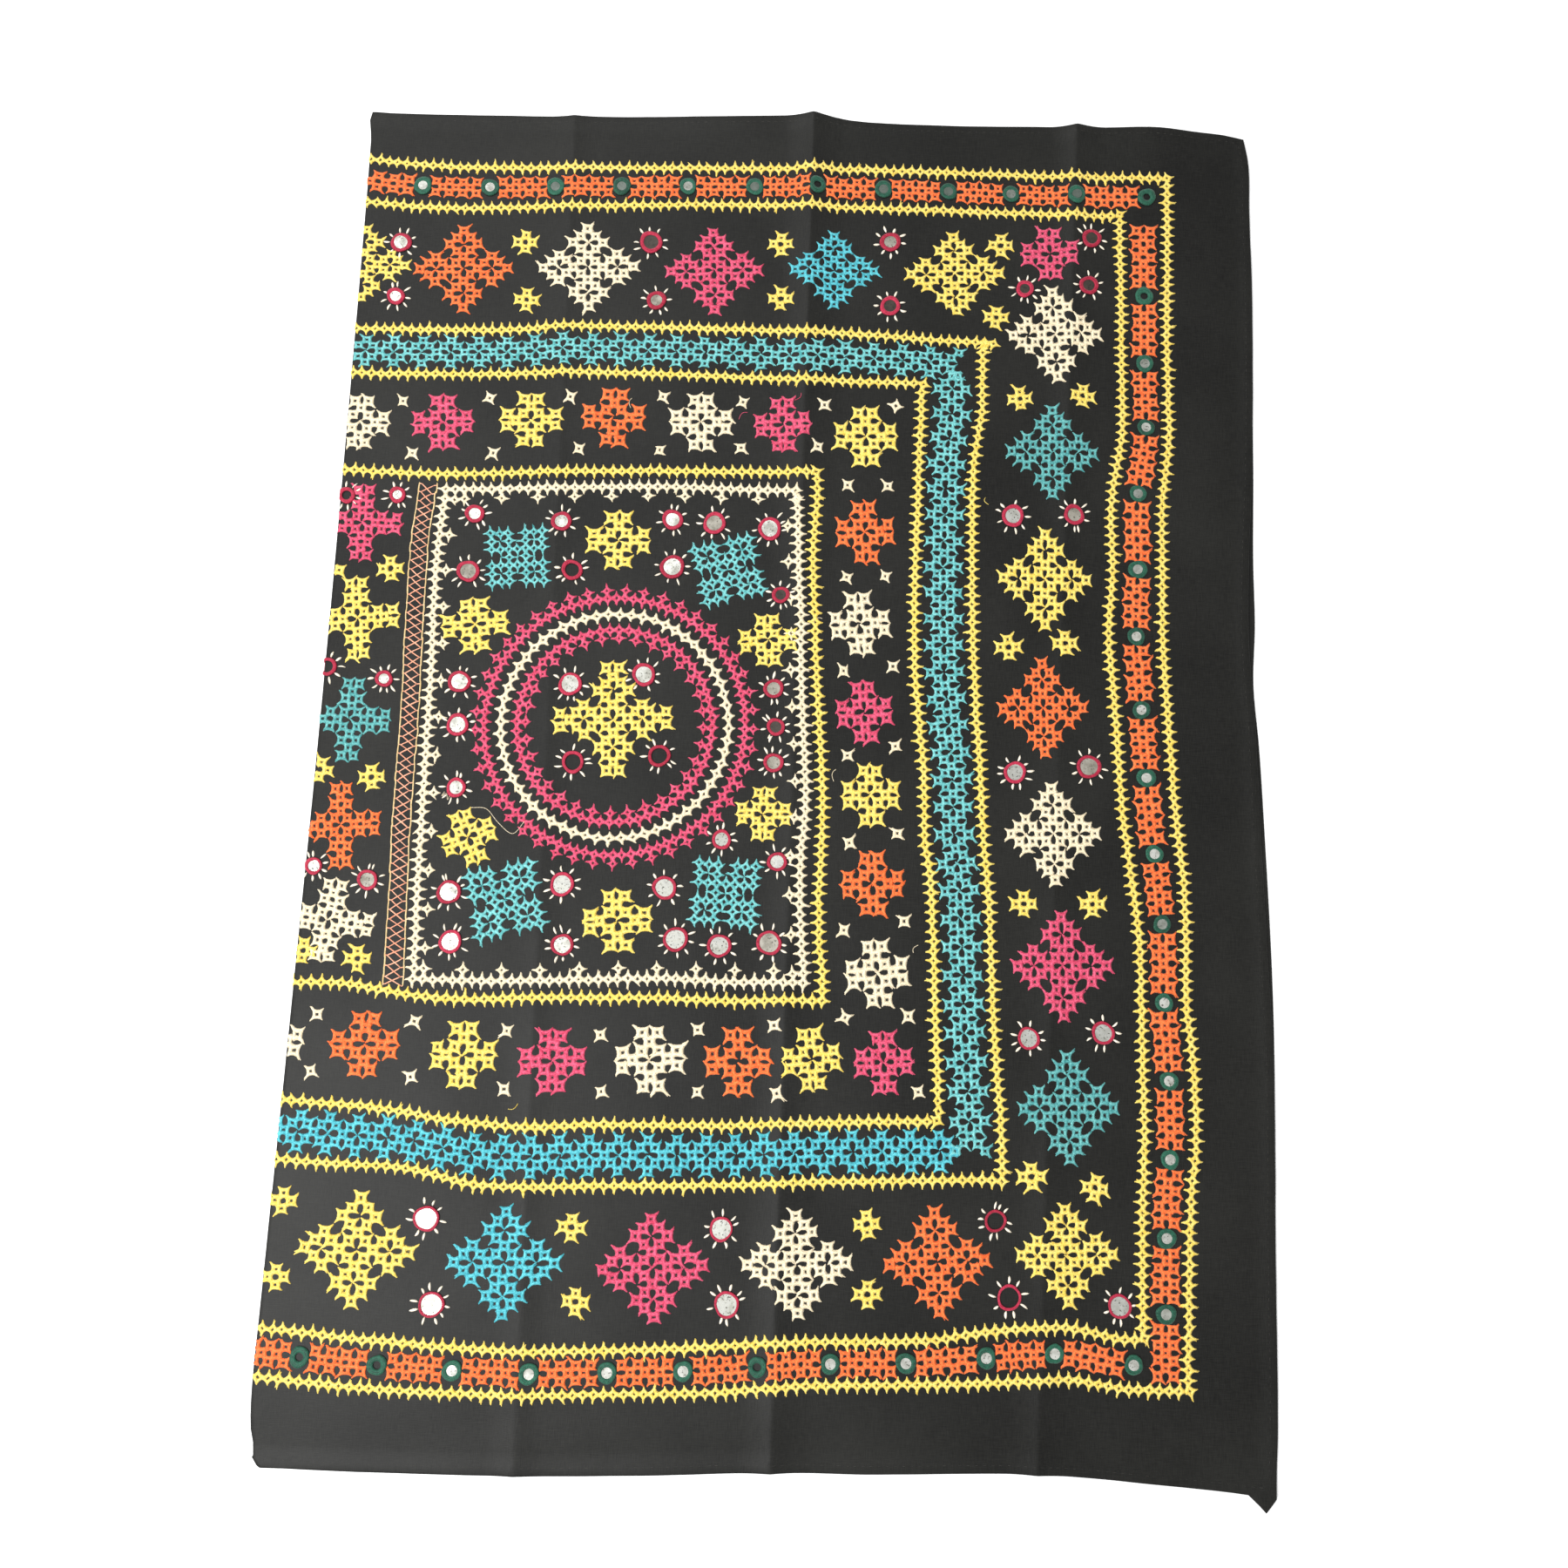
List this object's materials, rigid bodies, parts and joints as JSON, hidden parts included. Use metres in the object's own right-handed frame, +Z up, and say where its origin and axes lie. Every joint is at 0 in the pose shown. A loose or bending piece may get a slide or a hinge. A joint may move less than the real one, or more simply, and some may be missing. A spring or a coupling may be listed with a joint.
{
  "type": "embroidered bedspread",
  "caption": "Dark cotton bedspread with interlaced cross-stitch embroidery and sewn-on mirrors, folded once in half and laid flat.",
  "frame": {"origin": "under the middle of the folded cloth, on the surface that it lies on", "axes": "+X from the folded edge to the open edge, +Y from the near hem to the far hem, +Z up"},
  "size_m": [1.0875, 1.5764, 0.0129],
  "materials": {
    "cloth": "plain-woven charcoal cotton",
    "mirror": "hand-cut silvered glass",
    "thread_yellow": "lemon-yellow floss",
    "thread_orange": "orange floss",
    "thread_pink": "deep pink floss",
    "thread_blue": "turquoise floss",
    "thread_cream": "cream floss",
    "thread_red": "crimson floss round the mirrors",
    "thread_green": "bottle-green floss round the mirrors"
  },
  "bodies": {
    "root": {"cover": "cloth", "mirror_far_1": "mirror", "mirror_far_2": "mirror", "mirror_far_3": "mirror", "mirror_far_4": "mirror", "mirror_far_5": "mirror", "mirror_far_6": "mirror", "mirror_far_7": "mirror", "mirror_far_8": "mirror", "mirror_far_9": "mirror", "mirror_fold_side_1": "mirror", "mirror_fold_side_2": "mirror", "mirror_fold_side_3": "mirror", "mirror_fold_side_4": "mirror", "mirror_near_1": "mirror", "mirror_near_2": "mirror", "mirror_near_3": "mirror", "mirror_near_4": "mirror", "mirror_near_5": "mirror", "mirror_open_side_1": "mirror", "mirror_open_side_2": "mirror", "mirror_open_side_3": "mirror", "mirror_open_side_4": "mirror", "mirror_open_side_5": "mirror", "mirror_open_side_6": "mirror", "mirror_square_1": "mirror", "mirror_square_2": "mirror", "mirror_square_3": "mirror", "mirror_square_4": "mirror", "mirror_square_5": "mirror", "mirror_square_6": "mirror", "mirror_square_7": "mirror", "mirror_square_8": "mirror", "mirror_square_9": "mirror", "mirror_square_10": "mirror", "mirror_square_11": "mirror", "mirror_square_12": "mirror", "mirror_square_13": "mirror", "mirror_square_14": "mirror", "mirror_square_15": "mirror", "mirror_square_16": "mirror", "mirror_square_17": "mirror", "mirror_square_18": "mirror", "mirror_square_19": "mirror", "mirror_square_20": "mirror", "mirror_square_21": "mirror", "mirror_square_22": "mirror", "mirror_square_23": "mirror", "mirror_square_24": "mirror", "mirror_square_25": "mirror", "mirror_square_26": "mirror"}
  },
  "joints": []
}
